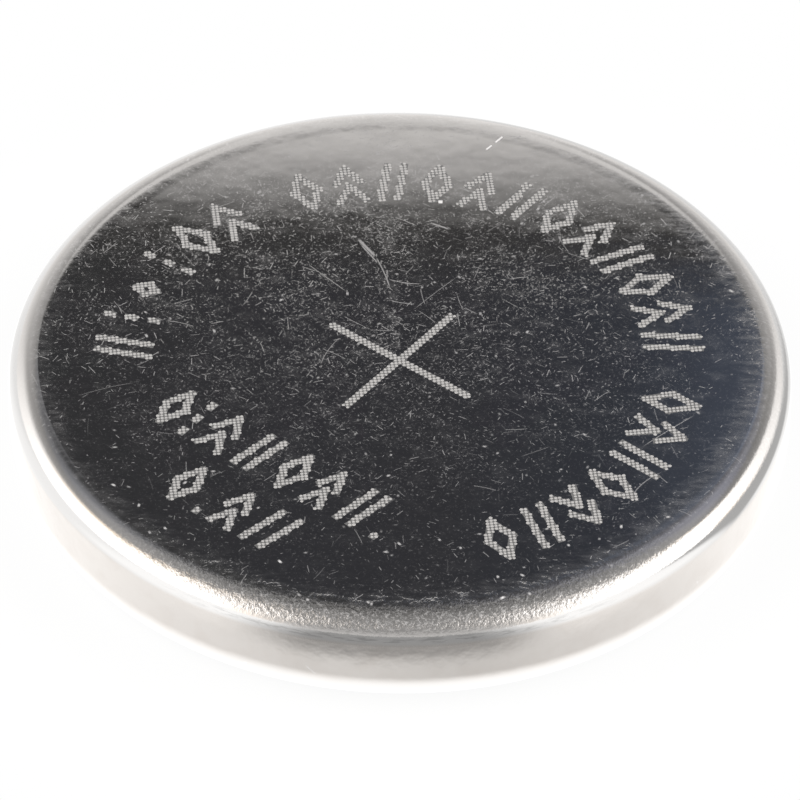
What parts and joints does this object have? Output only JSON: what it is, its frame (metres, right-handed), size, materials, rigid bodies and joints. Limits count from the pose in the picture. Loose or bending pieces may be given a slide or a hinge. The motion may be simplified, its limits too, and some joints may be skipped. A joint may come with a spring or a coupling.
{
  "type": "lithium coin cell",
  "caption": "Round flat rechargeable coin cell: a positive steel can crimped over a plastic gasket and a stepped negative cap, with a pressed disc stack sealed inside.",
  "frame": {"origin": "centre of the negative contact face, on the surface that the cell lies on", "axes": "+Z along the cell's axis, from the negative contact face to the positive face; X and Y are free because the cell is round"},
  "size_m": [0.02, 0.02, 0.0032],
  "materials": {
    "can_steel": "bright nickel-plated drawn steel with fine handling scratches",
    "cap_steel": "satin drawn steel",
    "gasket_plastic": "moulded, matt, dark grey",
    "grid_aluminium": "expanded mesh",
    "cathode_mix": "pressed powder",
    "separator_felt": "non-woven felt",
    "anode_mix": "pressed graphite powder",
    "grid_copper": "expanded copper mesh"
  },
  "bodies": {
    "root": {"positive_can": "can_steel", "sealing_gasket": "gasket_plastic", "negative_cap": "cap_steel", "cathode_grid": "grid_aluminium", "cathode_disc": "cathode_mix", "separator": "separator_felt", "anode_disc": "anode_mix", "anode_grid": "grid_copper"}
  },
  "joints": []
}
